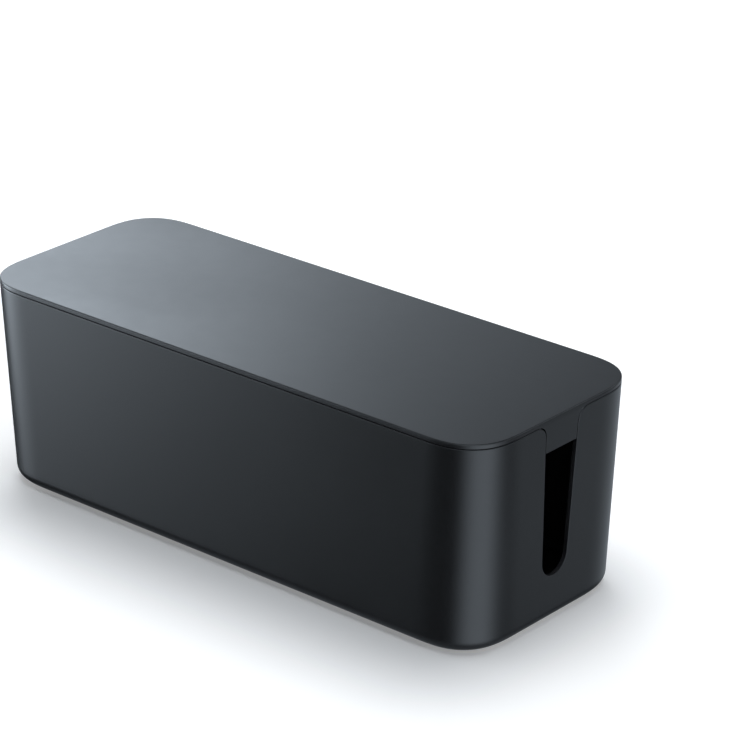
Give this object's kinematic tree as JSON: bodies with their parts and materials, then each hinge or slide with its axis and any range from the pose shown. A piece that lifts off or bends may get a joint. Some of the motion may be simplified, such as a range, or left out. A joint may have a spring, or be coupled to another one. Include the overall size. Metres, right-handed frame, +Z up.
{
  "type": "cable management box",
  "caption": "Long rounded plastic box with a lift-off lid and a tapered cable slot in each end, for hiding a power strip and its cables.",
  "frame": {"origin": "on the surface that the box stands on, under its middle, at the level of the feet's undersides", "axes": "+X along the box towards its right-hand cable slot, +Y across it to the rear, +Z up through the lid"},
  "size_m": [0.406, 0.154, 0.1377],
  "materials": {
    "tub_plastic": "satin charcoal moulded plastic with a fine matte grain",
    "lid_plastic": "satin charcoal moulded plastic with a fine matte grain",
    "foot_rubber": "dull black rubber"
  },
  "bodies": {
    "tub": {"box_body": "tub_plastic", "foot_front_left": "foot_rubber", "foot_front_right": "foot_rubber", "foot_rear_left": "foot_rubber", "foot_rear_right": "foot_rubber"},
    "lid": {"lid": "lid_plastic"}
  },
  "joints": [
    {"name": "lid_lift", "type": "slide", "parent": "tub", "child": "lid", "axis": [0, 0, 1], "range_m": [0, 0.12]}
  ]
}
